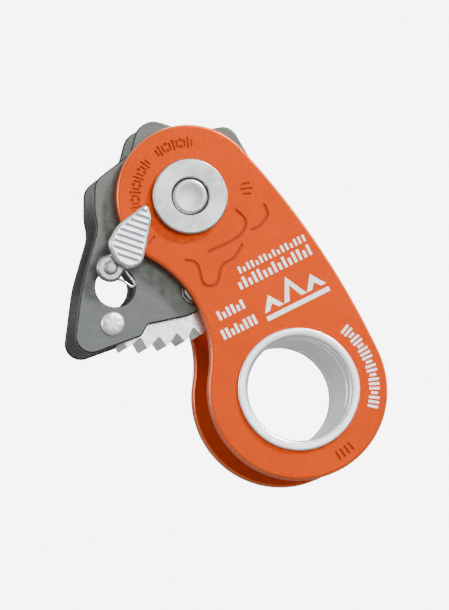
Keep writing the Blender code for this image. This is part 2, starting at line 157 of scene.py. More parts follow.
TAB_CORNERS = [
    (6.1, 11.4, 0.8),
    (7.0, 8.9, 3.0),
    (6.1, 3.8, 8.0),
    (5.3, 0.5, 2.0),
    (3.0, -0.4, 2.2),
    (0.8, 0.8, 2.0),
    (-0.9, 4.0, 2.2),
    (0.9, 7.4, 6.0),
]

# Fine shapes that only the visual model has
SIDE_FILLET = 0.5
CAM_FILLET = 0.3
HUB_FILLET = 0.5
TAB_FILLET = 0.55
RING_FILLET = 0.32
WASHER_FILLET = 0.35
FLANGE_FILLET = 0.45
BAR_ROUNDNESS = 0.3
MARK_DEPTH = 0.16
MARK_LINE = 0.55
MARK_TICK = 0.42
HEAD_TICK = 0.4
HEAD_MARKS_RADIUS = 9.6
DOT_RADIUS = 0.36
DOT_SHIFT = 0.6
PRINT_TILT = 27.0
PRINT_PROUD = 0.03
PRINT_ROOT = 0.04
PEAK_STROKE = 1.0
STAKE_WALL = 0.15
STAKE_LOBES = 3
STAKE_SWELL = 0.4
PIN_BORE = 1.15
COIL_WIRE = 0.24
COIL_CLEAR = 0.1
COIL_RISE = 1.5
COIL_TURNS = 3
TOOTH_CUTS = (-3.9, -1.3, 1.3, 3.9)
CUT_HALF_WIDTH = 0.95
CUT_DEPTH = 1.75
CUT_CLEAR = 0.6
CUT_FROM = -0.8
CUT_TO = 6.2
TOOTH_ROUND = 0.09
RIBS = 9
RIB_TILT = 18.0
RIB_LENGTH = 9.0
RIB_FIRST = Vector((2.8, 1.6))
RIB_PITCH = 1.1
RIB_WIDTH = 0.52
RIB_DEPTH = 0.34
RIB_INSET = 0.75
TAB_MIDDLE = Vector((3.6, 5.4))

# Light: powers in watts; places in metres from the object's middle, with each lamp's width
WORLD_STRENGTH = 0.8
WORLD_LOW = (0.50, 0.50, 0.51, 1)
WORLD_HIGH = (1.0, 1.0, 1.0, 1)
BACKDROP_STRENGTH = 7.0
LAMPS = (
    ("key", (0.50, -0.70, 0.75), 0.18, 22.0),
    ("front_softbox", (0.30, -1.32, 0.22), 0.55, 3.4),
    ("left_softbox", (-1.00, -0.40, 0.16), 0.45, 5.0),
    ("right_softbox", (1.05, 0.14, 0.20), 0.35, 6.5),
    ("top_back", (0.10, 0.80, 0.80), 0.5, 8.0),
)
FLOOR_HALF = 6.0
FLOOR_HEIGHT = -0.35
FLOOR_GLOW = 1.0

# Camera: degrees, metres, and the lens in millimetres
CAMERA_AZIMUTH = -8.2
CAMERA_ELEVATION = -5.0
CAMERA_DISTANCE = 1.25
CAMERA_LENS = 415


# ---------------------------------------------------------------- outlines
def arc(centre, radius, start, end, step):
    """Points along an arc, angles in degrees."""
    count = max(2, math.ceil(abs(end - start) / step))
    angles = [math.radians(start + (end - start) * i / count) for i in range(count + 1)]
    return [Vector((centre[0] + radius * math.cos(a), centre[1] + radius * math.sin(a))) for a in angles]


def polar(radius, angle):
    """The point at a radius and an angle in degrees."""
    return Vector((radius * math.cos(math.radians(angle)), radius * math.sin(math.radians(angle))))


def circle(centre, radius, step=5.0):
    """A closed outline; step is in degrees."""
    return arc(centre, radius, 0, 360, step)[:-1]


def bearing(start, end):
    """Direction from one point to another, in degrees from 0 to 360."""
    return math.degrees(math.atan2(end[1] - start[1], end[0] - start[0])) % 360


def meeting(centre_a, radius_a, centre_b, radius_b, side):
    """Where two circles meet; side 1 is on the left of the way from a to b, and -1 on the right."""
    across = centre_b - centre_a
    distance = across.length
    along = (radius_a ** 2 - radius_b ** 2 + distance ** 2) / (2 * distance)
    off = math.sqrt(radius_a ** 2 - along ** 2)
    ahead = across / distance
    return centre_a + ahead * along + Vector((-ahead.y, ahead.x)) * off * side


def rounded(corners, step=7.0):
    """A closed outline from corners (x, y, radius), each corner rounded by its own arc."""
    points = []
    for i, (x, y, radius) in enumerate(corners):
        corner = Vector((x, y))
        back = (Vector(corners[i - 1][:2]) - corner).normalized()
        ahead = (Vector(corners[(i + 1) % len(corners)][:2]) - corner).normalized()
        half = back.angle(ahead) / 2
        centre = corner + (back + ahead).normalized() * radius / math.sin(half)
        start = bearing(centre, corner + back * radius / math.tan(half))
        end = bearing(centre, corner + ahead * radius / math.tan(half))
        turn = (end - start + 180) % 360 - 180
        points += arc(centre, radius, start, start + turn, step)
    return points


def side_outline():
    """A side plate about the eye: round head, round foot, hollow waist and a long full back."""
    eye = Vector((0, 0))
    head = AXLE - EYE
    waist = meeting(eye, FOOT_RADIUS + WAIST_RADIUS, head, HEAD_RADIUS + WAIST_RADIUS, 1)
    spine = meeting(eye, BACK_RADIUS - FOOT_RADIUS, head, BACK_RADIUS - HEAD_RADIUS, 1)
    back_low = bearing(spine, eye)
    if back_low > 180:
        back_low -= 360
    back_high = bearing(spine, head)
    points = arc(spine, BACK_RADIUS, back_low, back_high, 0.7)
    points += arc(head, HEAD_RADIUS, back_high, bearing(head, waist), 2.5)[1:]
    points += arc(waist, WAIST_RADIUS, bearing(waist, head), bearing(waist, eye) - 360, 2.5)[1:]
    points += arc(eye, FOOT_RADIUS, bearing(eye, waist), back_low + 360, 2.5)[1:-1]
    return points


def cam_outline():
    """The cam plates, about the axle: three lobes at the top, a long tail and a stepped lower edge."""
    return rounded([
        (12.6, -2.0, 8.0),
        (12.2, 6.0, 6.0),
        (7.9, 13.3, 2.8),
        (1.0, 11.9, 8.0),
        (-8.3, 14.6, 3.6),
        (-10.1, 7.9, 2.0),
        (-16.4, 3.0, 3.2),
        (-16.4, -2.6, 6.0),
        (-15.8, -5.6, 6.0),
        (-18.5, -15.0, 20.0),
        (-20.3, -29.0, 2.9),
        (-8.0, -24.4, 0.8),
        (-6.8, -22.3, 0.7),
        (0.5, -20.7, 8.0),
        (7.0, -17.2, 3.0),
        (5.6, -11.2, 3.0),
    ])


def front_window():
    """A round window with a lug left at its top, where the catch's pin is fixed."""
    pin_at = CATCH - AXLE
    left = meeting(WINDOW, WINDOW_RADIUS, pin_at, PIN_LUG, 1)
    right = meeting(WINDOW, WINDOW_RADIUS, pin_at, PIN_LUG, -1)
    start = bearing(WINDOW, left)
    end = bearing(WINDOW, right)
    points = arc(WINDOW, WINDOW_RADIUS, start, end + 360 if end < start else end, 5)
    lug_start = bearing(pin_at, right)
    turn = (bearing(pin_at, left) - lug_start + 180) % 360 - 180
    points += arc(pin_at, PIN_LUG, lug_start, lug_start + turn, 6)[1:-1]
    return points


def rear_window():
    """A round-ended slot behind the front window."""
    far = WINDOW + REAR_WINDOW_SHIFT
    slope = bearing(WINDOW, far)
    points = arc(WINDOW, WINDOW_RADIUS, slope + 90, slope + 270, 5)
    return points + arc(far, WINDOW_RADIUS, slope - 90, slope + 90, 5)


def bar(middle, angle, length, width):
    """A round-cornered bar whose long side runs at an angle in degrees."""
    along = Vector((math.cos(math.radians(angle)), math.sin(math.radians(angle))))
    across = Vector((-along.y, along.x))
    radius = min(length, width) / 2 * BAR_ROUNDNESS
    corners = []
    for a, b in ((1, -1), (1, 1), (-1, 1), (-1, -1)):
        place = middle + along * (length / 2 * a) + across * (width / 2 * b)
        corners.append((place.x, place.y, radius))
    return rounded(corners, 30)


def stroke(points, width):
    """The outline of a pen stroke along points, with round ends."""
    left, right = [], []
    for i, point in enumerate(points):
        before = points[max(i - 1, 0)]
        after = points[min(i + 1, len(points) - 1)]
        along = (after - before).normalized()
        side = Vector((-along.y, along.x)) * (width / 2)
        left.append(point + side)
        right.append(point - side)
    end = bearing(points[-2], points[-1])
    start = bearing(points[1], points[0])
    cap_end = arc(points[-1], width / 2, end - 90, end + 90, 30)
    cap_start = arc(points[0], width / 2, start - 90, start + 90, 30)
    return right[:-1] + cap_end + left[-2:0:-1] + cap_start


# ---------------------------------------------------------------- solids
def link(obj):
    """Put an object in the scene."""
    bpy.context.scene.collection.objects.link(obj)
    return obj


def mesh_of(obj):
    """The object's evaluated mesh on a plain new object; the old one goes."""
    evaluated = obj.evaluated_get(bpy.context.evaluated_depsgraph_get())
    mesh = bpy.data.meshes.new_from_object(evaluated)
    bpy.data.objects.remove(obj)
    return link(bpy.data.objects.new("solid", mesh))


def weld(obj, shift=0.0):
    """Join doubled points, shift along z in millimetres, merge flat faces and turn normals outwards."""
    work = bmesh.new()
    work.from_mesh(obj.data)
    bmesh.ops.remove_doubles(work, verts=work.verts, dist=1e-6)
    bmesh.ops.translate(work, verts=work.verts, vec=(0, 0, shift * MM))
    bmesh.ops.dissolve_limit(work, angle_limit=0.001, verts=work.verts, edges=work.edges)
    bmesh.ops.recalc_face_normals(work, faces=work.faces)
    work.to_mesh(obj.data)
    work.free()
    return obj


def slab(outlines, front, back, fillet=0.0, flat_and_painted_edge=()):
    """A flat solid between two heights; outlines inside another are holes, and others are separate.

    A fillet rounds the edges. The last argument gives a material for the flats and walls and one for the
    round edges, which paints a line of light or shade along them: a painted highlight on the orange plates
    and painted shade on the cam plates.
    """
    curve = bpy.data.curves.new("outline", "CURVE")
    curve.dimensions = "2D"
    curve.fill_mode = "BOTH"
    curve.extrude = ((front - back) / 2 - fillet) * MM
    curve.bevel_depth = fillet * MM
    curve.bevel_resolution = 3
    curve.offset = -fillet * MM
    for outline in outlines:
        spline = curve.splines.new("POLY")
        spline.points.add(len(outline) - 1)
        for point, place in zip(spline.points, outline):
            point.co = (place[0] * MM, place[1] * MM, 0, 1)
        spline.use_cyclic_u = True
    source = link(bpy.data.objects.new("outline", curve))
    solid = weld(mesh_of(source), (front + back) / 2)
    if flat_and_painted_edge:
        for material in flat_and_painted_edge:
            solid.data.materials.append(material)
        for face in solid.data.polygons:
            # Sloping faces, which are the round edges, take the second material: painted highlight on the
            # orange plates, painted shade on the cam plates.
            face.material_index = int(0.05 < abs(face.normal.z) < 0.95)
    return solid


def turned(profile, closed, steps):
    """A turned solid: profile points are (radius, height), running down the outer side."""
    mesh = bpy.data.meshes.new("turned")
    verts = [(radius * MM, 0, height * MM) for radius, height in profile]
    edges = [(i, i + 1) for i in range(len(verts) - 1)]
    if closed:
        edges.append((len(verts) - 1, 0))
    mesh.from_pydata(verts, edges, [])
    obj = link(bpy.data.objects.new("turned", mesh))
    screw = obj.modifiers.new("Screw", "SCREW")
    screw.steps = steps
    screw.render_steps = steps
    screw.use_merge_vertices = True
    screw.merge_threshold = 1e-6
    return mesh_of(obj)


def rim(radius, height, fillet, start, end, count=5):
    """Profile points of a round edge: its arc's centre is (radius, height)."""
    angles = [math.radians(start + (end - start) * i / count) for i in range(count + 1)]
    return [(radius + fillet * math.cos(a), height + fillet * math.sin(a)) for a in angles]


def ring(outer, inner, top, bottom, fillet, steps):
    """A turned ring with round outer edges and slightly broken inner ones."""
    broken = fillet * 0.4
    profile = rim(outer - fillet, top - fillet, fillet, 90, 0)
    profile += rim(outer - fillet, bottom + fillet, fillet, 0, -90)
    profile += [(inner + broken, bottom), (inner, bottom + broken)]
    profile += [(inner, top - broken), (inner + broken, top)]
    return turned(profile, True, steps)


def to_the_back(obj):
    """Mirror a piece from the front half to the rear half."""
    obj.data.transform(Matrix.Scale(-1, 4, (0, 0, 1)))
    obj.data.flip_normals()


def with_mirror(half):
    """A whole profile from its front half."""
    return half + [(radius, -height) for radius, height in reversed(half)]


def wire(points, radius):
    """A round wire along close points (x, y, z) of the drawing."""
    curve = bpy.data.curves.new("wire", "CURVE")
    curve.dimensions = "3D"
    curve.bevel_depth = radius * MM
    curve.bevel_resolution = 4
    curve.use_fill_caps = True
    spline = curve.splines.new("POLY")
    spline.points.add(len(points) - 1)
    for point, place in zip(spline.points, points):
        point.co = (place[0] * MM, place[1] * MM, place[2] * MM, 1)
    return weld(mesh_of(link(bpy.data.objects.new("wire", curve))))


def smooth_path(points):
    """A Catmull-Rom curve through points, as many close points."""
    per_span = 6
    path = []
    padded = [points[0]] + points + [points[-1]]
    for i in range(1, len(padded) - 2):
        a, b, c, d = (Vector(p) for p in padded[i - 1:i + 3])
        for k in range(per_span):
            t = k / per_span
            path.append(0.5 * ((2 * b) + (c - a) * t + (2 * a - 5 * b + 4 * c - d) * t ** 2
                               + (3 * b - a - 3 * c + d) * t ** 3))
    path.append(Vector(points[-1]))
    return path


def boolean(obj, tool, operation, materials="INDEX"):
    """Cut, join or intersect with a tool at once; the tool goes, and may leave its material."""
    modifier = obj.modifiers.new("Boolean", "BOOLEAN")
    modifier.operation = operation
    modifier.solver = "EXACT"
    modifier.material_mode = materials
    modifier.object = tool
    made = mesh_of(obj)
    bpy.data.objects.remove(tool)
    return made


def soften(obj, width, segments, angle):
    """Round the edges that are sharper than the angle in degrees, and apply it."""
    modifier = obj.modifiers.new("Bevel", "BEVEL")
    modifier.width = width * MM
    modifier.segments = segments
    modifier.limit_method = "ANGLE"
    modifier.angle_limit = math.radians(angle)
    modifier.use_clamp_overlap = True
    return mesh_of(obj)


# ---------------------------------------------------------------- materials
class Shader:
    """A Principled material and its node tree, with the few links that every finish here uses."""

    def __init__(self, name, roughness=0.4, metallic=0.0, **constants):
        self.material = bpy.data.materials.new(name)
        self.material.use_nodes = True
        self.nodes = self.material.node_tree.nodes
        self.principled = self.nodes["Principled BSDF"]
        self.principled.inputs["Roughness"].default_value = roughness
        self.principled.inputs["Metallic"].default_value = metallic
        for socket, value in constants.items():
            self.principled.inputs[socket.replace("_", " ")].default_value = value
        self.place = self.nodes.new("ShaderNodeTexCoord").outputs["Object"]

    def join(self, source, target):
        """Link two sockets."""
        self.material.node_tree.links.new(source, target)

    def noise(self, scale, detail, stretch=None):
        """A noise value in the object's own space; scale is in features per metre."""
        node = self.nodes.new("ShaderNodeTexNoise")
        node.inputs["Scale"].default_value = scale
        node.inputs["Detail"].default_value = detail
        place = self.place
        if stretch:
            mapping = self.nodes.new("ShaderNodeMapping")
            mapping.inputs["Scale"].default_value = stretch
            self.join(place, mapping.inputs["Vector"])
            place = mapping.outputs["Vector"]
        self.join(place, node.inputs["Vector"])
        return node.outputs["Fac"]

    def lathe(self, scale):
        """Uneven rings about the drawing's z axis, as a lathe leaves them on faces and walls."""
        apart = self.nodes.new("ShaderNodeSeparateXYZ")
        self.join(self.place, apart.inputs["Vector"])
        flat = self.nodes.new("ShaderNodeCombineXYZ")
        self.join(apart.outputs["X"], flat.inputs["X"])
        self.join(apart.outputs["Y"], flat.inputs["Y"])
        length = self.nodes.new("ShaderNodeVectorMath")
        length.operation = "LENGTH"
        self.join(flat.outputs["Vector"], length.inputs[0])
        section = self.nodes.new("ShaderNodeCombineXYZ")
        self.join(length.outputs["Value"], section.inputs["X"])
        self.join(apart.outputs["Z"], section.inputs["Y"])
        node = self.nodes.new("ShaderNodeTexNoise")
        node.noise_dimensions = "2D"
        node.inputs["Scale"].default_value = scale
        node.inputs["Detail"].default_value = 3.0
        self.join(section.outputs["Vector"], node.inputs["Vector"])
        return node.outputs["Fac"]

    def ramp(self, value, low, high, start=0.3, end=0.7):
        """Map a value to a colour between two colours."""
        node = self.nodes.new("ShaderNodeValToRGB")
        first, last = node.color_ramp.elements
        first.position = start
        first.color = (*low, 1)
        last.position = end
        last.color = (*high, 1)
        self.join(value, node.inputs["Fac"])
        return node.outputs["Color"]

    def spread(self, value, low, high):
        """Map a value from about 0.3..0.7 to low..high."""
        node = self.nodes.new("ShaderNodeMapRange")
        node.inputs["From Min"].default_value = 0.3
        node.inputs["From Max"].default_value = 0.7
        node.inputs["To Min"].default_value = low
        node.inputs["To Max"].default_value = high
        self.join(value, node.inputs["Value"])
        return node.outputs["Result"]

    def bump(self, value, strength, distance):
        """A normal roughened by a value; distance is in metres."""
        node = self.nodes.new("ShaderNodeBump")
        node.inputs["Strength"].default_value = strength
        node.inputs["Distance"].default_value = distance
        self.join(value, node.inputs["Height"])
        return node.outputs["Normal"]

    def set(self, socket, output):
        """Feed one of the Principled shader's sockets."""
        self.join(output, self.principled.inputs[socket])


def anodised(name, dark, light, low, high, grain_strength):
    """Satin orange anodised aluminium: fine bead-blasted grain under a clear dyed skin."""
    shader = Shader(name, metallic=0.55, Specular_IOR_Level=0.12)
    cloud = shader.noise(90, 3)
    grain = shader.noise(9000, 2)
    shader.set("Base Color", shader.ramp(cloud, dark, light))
    shader.set("Roughness", shader.spread(shader.noise(1400, 4), low, high))
    shader.set("Normal", shader.bump(grain, grain_strength, 0.00003))
    return shader.material


def engraved_orange_shade():
    """The same skin in the pressed marks, where it is rougher, in a darker colour that is painted shade in
    the recesses.
    """
    shader = Shader("orange_engraved_painted_shade", metallic=0.3, Specular_IOR_Level=0.25)
    shader.set("Base Color", shader.ramp(shader.noise(2500, 3), (0.33, 0.026, 0.0009), (0.41, 0.034, 0.0013)))
    shader.set("Roughness", shader.spread(shader.noise(4000, 3), 0.5, 0.65))
    return shader.material


def turned_metal(name, dark, light, rough, lines, pull=0.6):
    """Bright turned metal with lathe lines round its axis; pull is how far they stretch highlights."""
    shader = Shader(name, metallic=1.0, Anisotropic=pull)
    rings = shader.lathe(lines)
    along_ring = shader.nodes.new("ShaderNodeTangent")
    along_ring.direction_type = "RADIAL"
    along_ring.axis = "Z"
    shader.set("Tangent", along_ring.outputs["Tangent"])
    shader.set("Base Color", shader.ramp(rings, dark, light))
    shader.set("Roughness", shader.spread(shader.noise(700, 4), rough - 0.05, rough + 0.07))
    shader.set("Normal", shader.bump(rings, 0.07, 0.00002))
    return shader.material


def plated_steel(name, dark, light, low, high):
    """Grey plated steel plate with a fine, even, faintly rolled grain."""
    shader = Shader(name, metallic=0.9)
    rolled = shader.noise(260, 4, (1, 4, 1))
    shader.set("Base Color", shader.ramp(rolled, dark, light))
    shader.set("Roughness", shader.spread(shader.noise(900, 5), low, high))
    shader.set("Normal", shader.bump(shader.noise(7000, 3), 0.22, 0.00003))
    return shader.material


def cast_steel():
    """Bright plated steel of the toothed block, with a slightly uneven cast surface."""
    shader = Shader("cast_steel", metallic=1.0)
    cloud = shader.noise(500, 4)
    shader.set("Base Color", shader.ramp(cloud, (0.80, 0.83, 0.85), (0.92, 0.94, 0.95)))
    shader.set("Roughness", shader.spread(shader.noise(1500, 4), 0.24, 0.40))
    shader.set("Normal", shader.bump(shader.noise(2200, 4), 0.22, 0.00006))
    return shader.material


def polished(name, dark, light, rough):
    """Polished or drawn bright metal with faint smears."""
    shader = Shader(name, metallic=1.0)
    smear = shader.noise(450, 4, (1, 3, 1))
    shader.set("Base Color", shader.ramp(smear, dark, light))
    shader.set("Roughness", shader.spread(smear, rough - 0.04, rough + 0.08))
    shader.set("Normal", shader.bump(shader.noise(3500, 3), 0.08, 0.00003))
    return shader.material


def bared_white():
    """Laser marks: the orange skin is burnt off to a white, matt, very slightly broken metal."""
    shader = Shader("white_laser_mark", metallic=0.3)
    speck = shader.noise(5200, 4)
    shader.set("Base Color", shader.ramp(speck, (0.93, 0.88, 0.85), (0.98, 0.97, 0.96), 0.25, 0.42))
    shader.set("Roughness", shader.spread(shader.noise(3000, 2), 0.42, 0.56))
    return shader.material


def plain_part(name, dark, light, rough, metallic):
    """Bushings and nylon washers: a mottled, porous surface."""
    shader = Shader(name, metallic=metallic)
    mottle = shader.noise(2600, 5)
    shader.set("Base Color", shader.ramp(mottle, dark, light))
    shader.set("Roughness", shader.spread(mottle, rough, rough + 0.15))
    shader.set("Normal", shader.bump(mottle, 0.2, 0.00003))
    return shader.material


ORANGE = anodised("orange_anodised", (0.52, 0.047, 0.0002), (0.56, 0.053, 0.0004), 0.33, 0.46, 0.12)
# Painted highlight: the round edges of the orange plates get a paler, smoother orange that draws light lines
# along them.
ORANGE_EDGE_HIGHLIGHT = anodised("orange_edge_painted_highlight", (0.78, 0.15, 0.045), (0.84, 0.21, 0.075), 0.24, 0.34, 0.03)
# Painted shade: the pressed marks get a darker orange.
ORANGE_MARK_SHADE = engraved_orange_shade()
RING_METAL = turned_metal("turned_aluminium", (0.88, 0.89, 0.90), (0.95, 0.96, 0.96), 0.33, 1100, 0.2)
WASHER_METAL = turned_metal("turned_steel", (0.46, 0.48, 0.48), (0.53, 0.555, 0.55), 0.32, 1800)
SHEAVE_METAL = turned_metal("sheave_aluminium", (0.58, 0.59, 0.60), (0.70, 0.71, 0.72), 0.32, 1500)
PLATED = plated_steel("plated_steel", (0.126, 0.137, 0.126), (0.142, 0.152, 0.141), 0.42, 0.58)
# Painted shade: the round edges of the cam plates get a near-black steel that draws dark lines along them.
PLATED_EDGE_SHADE = plated_steel("plated_steel_edge_painted_shade", (0.018, 0.019, 0.018), (0.036, 0.037, 0.035), 0.30, 0.42)
CAST = cast_steel()
BRIGHT = polished("bright_steel", (0.62, 0.63, 0.64), (0.74, 0.75, 0.76), 0.24)
STAKED = polished("staked_steel", (0.80, 0.82, 0.82), (0.90, 0.92, 0.92), 0.42)
CATCH_METAL = polished("catch_plating", (0.94, 0.96, 0.98), (0.98, 0.985, 0.99), 0.26)
# Painted shade: the grooves between the catch's ribs get a darker plating.
CATCH_GROOVE_SHADE = polished("catch_plating_groove_painted_shade", (0.24, 0.27, 0.32), (0.33, 0.36, 0.41), 0.38)
CATCH_HUB = polished("catch_hub_steel", (0.30, 0.29, 0.27), (0.46, 0.45, 0.43), 0.24)
PIN_STEEL = polished("catch_pin_steel", (0.38, 0.37, 0.35), (0.52, 0.51, 0.49), 0.30)
AXLE_STEEL = polished("axle_steel", (0.55, 0.56, 0.56), (0.63, 0.64, 0.64), 0.34)
PRINT = bared_white()
BRONZE = plain_part("sintered_bronze", (0.42, 0.26, 0.12), (0.56, 0.37, 0.19), 0.38, 1.0)
NYLON = plain_part("white_nylon", (0.72, 0.72, 0.69), (0.82, 0.82, 0.79), 0.42, 0.0)


# ---------------------------------------------------------------- placing
def shade(obj, angle):
    """Smooth shading, with edges kept sharp above the angle in degrees."""
    obj.data.shade_smooth()
    obj.data.set_sharp_from_angle(angle=math.radians(angle))
    weighted = obj.modifiers.new("WeightedNormal", "WEIGHTED_NORMAL")
    weighted.keep_sharp = True


def put(obj, name, material, at, body, nodes=(), angle=40):
    """Stand a drawn piece upright at its place and hand it to the frame; no material keeps its own."""
    obj.name = name
    obj.data.name = name
    if material:
        obj.data.materials.clear()
        obj.data.materials.append(material)
    obj.matrix_world = Matrix.Translation((at.x * MM, 0, at.y * MM)) @ UPRIGHT
    shade(obj, angle)
    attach(obj, body)
    if nodes:
        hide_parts(*nodes)


# ---------------------------------------------------------------- side plates
def spoke(middle, angle, radius, length, width):
    """A short bar that points away from a middle."""
    return bar(middle + polar(radius, angle), angle, length, width)


def head_marks():
    """Two pressed groups of ticks and pairs of dots along the head's edge."""
    head = AXLE - EYE
    marks = []
    for first, last, count in ((88, 127, 11), (141, 196, 15)):
        for i in range(count):
            angle = first + (last - first) * i / (count - 1)
            if i % 4 == 3:
                for shift in (-DOT_SHIFT, DOT_SHIFT):
                    marks.append(circle(head + polar(HEAD_MARKS_RADIUS + shift, angle), DOT_RADIUS, 45))
            else:
                marks.append(spoke(head, angle, HEAD_MARKS_RADIUS, 2.0 if i % 2 else 1.3, HEAD_TICK))
    return marks


def rope_marks():
    """Three pressed bent lines below the head, and groups of short ticks at the head and the foot."""
    head = AXLE - EYE
    marks = []
    for angle, length in ((229, 1.9), (4, 1.5), (9, 2.2), (14, 1.5)):
        marks.append(spoke(head, angle, 10.3, length, MARK_TICK))
    inner_line = [(8.3, -2.2), (10.0, -4.0), (9.4, -6.2), (7.0, -8.0), (3.6, -9.6)]
    outer_line = [(13.4, -1.2), (13.9, -3.0), (12.6, -4.9), (11.2, -5.6)]
    lower_line = [(-0.6, -11.2), (1.4, -11.9), (2.6, -15.4), (4.8, -15.3), (5.8, -12.2)]
    lower_line += [(8.0, -10.6), (9.4, -8.4)]
    for line in (inner_line, outer_line, lower_line):
        marks.append(stroke(smooth_path([head + Vector(place) for place in line]), MARK_LINE))
    for angle in (-47, -51, -55, -59):
        marks.append(spoke(Vector((0, 0)), angle, 13.6, 1.7, MARK_TICK))
    return marks


def side_plate(name, body, node, front):
    """An anodised plate with round edges in a paler orange that is a painted highlight, its inner pockets,
    and its pressed marks in a darker orange that is painted shade.
    """
    head = AXLE - EYE
    outlines = [side_outline(), circle(head, AXLE_RADIUS + GAP), circle((0, 0), SLEEVE_RADIUS + GAP, 4)]
    plate = slab(outlines, SIDE_OUTER, SIDE_INNER, SIDE_FILLET, (ORANGE, ORANGE_EDGE_HIGHLIGHT))
    pocket_depth = FRICTION_THICK + GAP
    pocket = slab([circle(head, FRICTION_RADIUS + GAP)], SIDE_INNER + pocket_depth, SIDE_INNER - 1)
    plate = boolean(plate, pocket, "DIFFERENCE")
    if not front:
        walls = [circle(head, SPRING_RADIUS + SPRING_ROOM), circle(head, SPRING_RADIUS - SPRING_ROOM)]
        groove = slab(walls, SIDE_INNER + SPRING_POCKET, SIDE_INNER - 1)
        plate = boolean(plate, groove, "DIFFERENCE")
    marks = head_marks() + (rope_marks() if front else [])
    tool = slab(marks, SIDE_OUTER + 0.5, SIDE_OUTER - MARK_DEPTH)
    # The marks carry the darker orange: painted shade in the pressed recesses.
    tool.data.materials.append(ORANGE_MARK_SHADE)
    plate = boolean(plate, tool, "DIFFERENCE", "TRANSFER")
    if not front:
        to_the_back(plate)
    put(plate, name, None, EYE, body, [node])


def tilted(middle, u, v):
    """A point of the print: u along its rows and v across them, about a middle."""
    return middle + Matrix.Rotation(math.radians(PRINT_TILT), 2) @ Vector((u, v))


def peaks_mark(middle):
    """A plain printed mark: three peaks over a bar."""
    outlines = []
    for shift, half, height in ((-4.0, 1.9, 2.7), (0.2, 2.2, 4.2), (4.4, 1.9, 2.7)):
        inner = half - PEAK_STROKE
        peak = [(-half, 0), (0, height), (half, 0)]
        peak += [(inner, 0), (0, height - PEAK_STROKE * 1.6), (-inner, 0)]
        outlines.append([tilted(middle, shift + x, y - 1.3) for x, y in peak])
    outlines.append(bar(tilted(middle, 0.2, -2.4), PRINT_TILT, 12.4, 0.85))
    return outlines


def row(middle, length, height, pattern, width=0.52):
    """A printed row of upright bars; in the pattern I is a tall bar and i a short one."""
    outlines = []
    pitch = length / (len(pattern) - 1)
    for i, sign in enumerate(pattern):
        along = i * pitch - length / 2
        if sign == "I":
            outlines.append(bar(tilted(middle, along, 0), PRINT_TILT + 90, height, width))
        else:
            outlines.append(bar(tilted(middle, along, -height * 0.16), PRINT_TILT + 90, height * 0.66, width))
    return outlines


def edge_bars():
    """Printed bars that follow the foot's round edge beside the eye ring."""
    first = 52.5
    pitch = 3.4
    radius = 13.55
    outlines = []
    for i, sign in enumerate("IIiIIiIIIiIIiIIIiIII"):
        length = 1.9 if sign == "I" else 1.2
        outlines.append(spoke(Vector((0, 0)), first - pitch * i, radius, length, 0.46))
    return outlines


def prints():
    """All the white print on the front plate, as one thin layer."""
    outlines = peaks_mark(Vector((-1.3, 17.2)))
    outlines += row(Vector((-4.3, 21.6)), 13.8, 2.0, "iIiIIiiIiIiIIiI")
    outlines += row(Vector((-4.8, 23.9)), 12.8, 1.3, "IiIIiIIiIiIIiIII", 0.42)
    outlines += row(Vector((-12.1, 13.9)), 4.6, 1.7, "IiIIiI")
    outlines += row(Vector((-10.6, 10.9)), 6.2, 1.8, "IIiIiIII")
    outlines += edge_bars()
    layer = slab(outlines, SIDE_OUTER + PRINT_PROUD, SIDE_OUTER - PRINT_ROOT)
    put(layer, "front_plate_print", PRINT, EYE, "front_plate", angle=20)


def side_plates():
    """Both plates and the front one's print."""
    side_plate("front_plate_orange", "front_plate", "front_side_plate", True)
    side_plate("rear_plate_orange", "rear_frame", "rear_side_plate", False)
    prints()


# ---------------------------------------------------------------- eye
def eye_ring(name, body, node, front):
    """A turned ring with a round lip and a coned mouth."""
    mouth = ((0.0, 0.48), (0.04, 0.32), (0.14, 0.19), (0.3, 0.10), (0.6, 0.05))
    profile = [(EYE_BORE + 0.95, RING_FRONT - 0.03)]
    profile += rim(RING_RADIUS - RING_FILLET, RING_FRONT - RING_FILLET, RING_FILLET, 90, 0)
    profile += [(RING_RADIUS, SIDE_OUTER + 0.05), (SLEEVE_RADIUS, SIDE_OUTER + 0.05)]
    profile += [(SLEEVE_RADIUS, RING_BACK), (EYE_BORE + 0.15, RING_BACK), (EYE_BORE, RING_BACK + 0.15)]
    profile += [(EYE_BORE + out, RING_FRONT - down) for out, down in mouth]
    piece = turned(profile, True, 128)
    if not front:
        to_the_back(piece)
    put(piece, name, RING_METAL, EYE, body, [node])


def eye_pieces():
    """A ring in each side plate, and the long drum between them."""
    eye_ring("eye_ring_front", "front_plate", "front_eye_ring", True)
    eye_ring("eye_ring_rear", "rear_frame", "rear_eye_ring", False)
    drum = ring(DRUM_RADIUS, EYE_BORE, CAM_OUTER, -CAM_OUTER, 0.45, 128)
    put(drum, "eye_drum_turned", RING_METAL, EYE, "rear_frame", ["eye_drum"])


